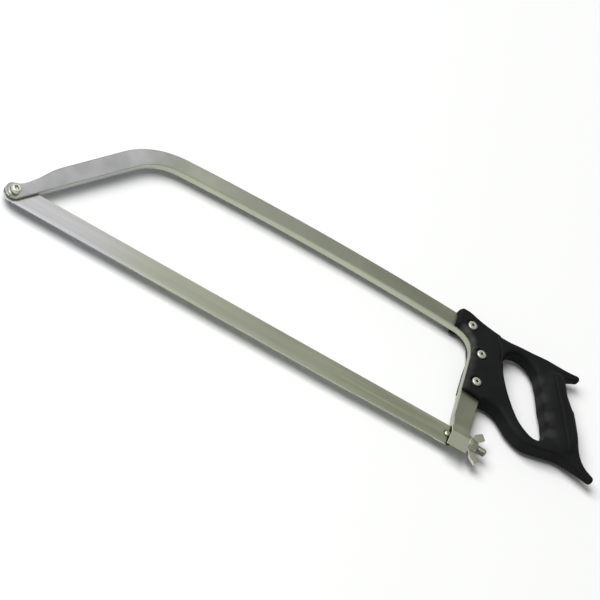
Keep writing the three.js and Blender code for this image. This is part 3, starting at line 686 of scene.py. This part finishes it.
def draw_bolt():
    """The flat hook of the draw bolt and its threaded stud along X."""
    node = "draw_bolt"
    low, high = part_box(node)
    source = nodes[node].data
    tip = [v.co.y for v in source.vertices if v.co.x > high.x - 0.5 * MM]
    line = (min(tip) + max(tip)) / 2
    height = (low.z + high.z) / 2
    radius = (high.z - low.z) / 2
    stud_front = min(v.co.x for v in source.vertices if v.co.z > height + radius * 0.9)
    hook = welded_copy(node)
    cut = bmesh.new()
    cut.from_mesh(hook.data)
    geometry = cut.verts[:] + cut.edges[:] + cut.faces[:]
    result = bmesh.ops.bisect_plane(
        cut, geom=geometry, plane_co=(stud_front - 0.05 * MM, 0, 0), plane_no=(1, 0, 0), clear_outer=True
    )
    edges = [e for e in result["geom_cut"] if isinstance(e, bmesh.types.BMEdge)]
    bmesh.ops.contextual_create(cut, geom=edges)
    cut.to_mesh(hook.data)
    cut.free()
    bevel = hook.modifiers.new("edge", "BEVEL")
    bevel.width = 0.3 * MM
    bevel.segments = 2
    shade_smooth(hook, 40)
    stand_in(hook, node)
    length = high.x - stud_front
    rings = [
        (0, 0), (radius - 0.8 * MM, 0), (radius - 0.2 * MM, 0.5 * MM),
        *threaded(2 * radius, 1.25 * MM, 0.62 * MM, 1.0 * MM, length - 1.1 * MM),
        (radius - 0.75 * MM, length - 0.45 * MM), (radius - 1.1 * MM, length), (0, length),
    ]
    stud = ring_stack("draw_bolt_stud", rings, 48)
    laid = Matrix.Rotation(math.pi / 2, 4, "Y")
    stud.data.transform(Matrix.Translation((stud_front, line, height)) @ laid)
    shade_smooth(stud, 60)
    stand_in(stud, node)


frame_skin = bent_tube("frame", angle=21)
handle_skin("handle", voxel=0.55 * MM)
for screw, sleeve in zip(HANDLE_SCREWS, HANDLE_SLEEVES):
    socket_screw(
        screw, shank=4 * MM, head_height=2.6 * MM, across=3 * MM,
        sink=2.2 * MM, rim=1.2 * MM, pitch=0.7 * MM,
    )
    sleeve_nut(sleeve, head_height=1.6 * MM, barrel=6.5 * MM, across=4 * MM, sink=1 * MM)
socket_screw(
    "front_bolt", shank=6 * MM, head_height=4.5 * MM, across=5 * MM,
    sink=1.8 * MM, rim=1.2 * MM, pitch=1 * MM,
)
hexagon_nut("front_nut", bore=6.6 * MM)
for node in ("front_spacer_near", "front_spacer_far", "thrust_washer"):
    smooth_skin(node, angle=40, edge=0.15 * MM)
set_blade("blade", first=3 * MM, pitch=2.5 * MM, lean=0.25 * MM)
smooth_skin("blade_pin", angle=40)
draw_bolt()
smooth_skin("wing_nut", angle=40, edge=0.35 * MM)


floor_mesh = bpy.data.meshes.new("floor")
REACH = 8.0
corners = [(-REACH, -REACH, 0), (REACH, -REACH, 0), (REACH, REACH, 0), (-REACH, REACH, 0)]
floor_mesh.from_pydata(corners, [], [(0, 1, 2, 3)])
floor = new_object("floor", floor_mesh)
floor.location.z = cad_bounds[0][2]
pale = Surface("pale_floor")
pale.set(Base_Color=(0.755, 0.76, 0.86, 1), Roughness=0.9, Specular_IOR_Level=0.1)
floor.data.materials.append(pale.material)

world = bpy.data.worlds.new("studio")
bpy.context.scene.world = world
world.use_nodes = True
sky = world.node_tree.nodes["Background"].inputs
sky["Color"].default_value = (0.97, 0.985, 0.84, 1)
sky["Strength"].default_value = 0.26


def softbox(name, position, aim, size, power, color, pieces=(), state="INCLUDE"):
    """A soft light. It lights everything, or the given pieces alone, or all but them."""
    light = bpy.data.lights.new(name, "AREA")
    light.shape = "RECTANGLE"
    light.size, light.size_y = size
    light.energy = power
    light.color = color
    obj = bpy.data.objects.new(name, light)
    obj.location = position
    obj.rotation_euler = (Vector(aim) - Vector(position)).to_track_quat("-Z", "Y").to_euler()
    bpy.context.scene.collection.objects.link(obj)
    if pieces:
        group = bpy.data.collections.new(name + "_pieces")
        for piece in pieces:
            group.objects.link(piece)
        for entry in group.collection_objects:
            entry.light_linking.link_state = state
        obj.light_linking.receiver_collection = group


# Each light's place, the point it faces and its two sides, in metres
KEY = ((-4.5, -0.15, 6.6), (0, 0, 0), (5.6, 5.6))
KEY_COLOR = (1.0, 1.0, 0.88)
SHEEN = ((-0.15, 1.2, 1.1), (-0.15, 0, 0), (0.8, 0.7))
SHEEN_COLOR = (1.03, 1.0, 1.17)
EDGE = ((0.96, 0, 2.84), (0, 0, 0), (1.6, 1.6))
EDGE_COLOR = (1.0, 1.0, 1.0)
softbox("key", *KEY, power=850, color=KEY_COLOR, pieces=[frame_skin], state="EXCLUDE")
softbox("key_on_frame", *KEY, power=160, color=KEY_COLOR)
softbox("sheen", *SHEEN, power=2.75, color=SHEEN_COLOR, pieces=[floor], state="EXCLUDE")
softbox("edge", *EDGE, power=8, color=EDGE_COLOR, pieces=[frame_skin])

# The photograph's viewing direction, turned about the line of sight so that the saw runs down to the
# right. The long lens keeps parallel edges parallel, and the front bolt has its place in the picture
RIGHT = Vector((0.8434, 0.2078, 0.4956))
DOWN = Vector((0.4742, -0.7217, -0.5043))
FORWARD = Vector((0.2529, 0.6603, -0.7071))
LENS = 1500
SENSOR = 36
WIDTH_SEEN = 0.5825
BOLT_LEFT = 0.2796
BOLT_ABOVE = 0.1046
distance = LENS * WIDTH_SEEN / SENSOR
camera_data = bpy.data.cameras.new("camera")
camera_data.sensor_width = SENSOR
camera_data.lens = LENS
camera_data.clip_end = 100
camera = bpy.data.objects.new("camera", camera_data)
axes = Matrix((RIGHT, -DOWN, -FORWARD)).transposed()
target = pivot + RIGHT * BOLT_LEFT + DOWN * BOLT_ABOVE
camera.matrix_world = Matrix.Translation(target - FORWARD * distance) @ axes.to_4x4()
bpy.context.scene.collection.objects.link(camera)
bpy.context.scene.camera = camera
bpy.context.scene.view_settings.view_transform = "Standard"
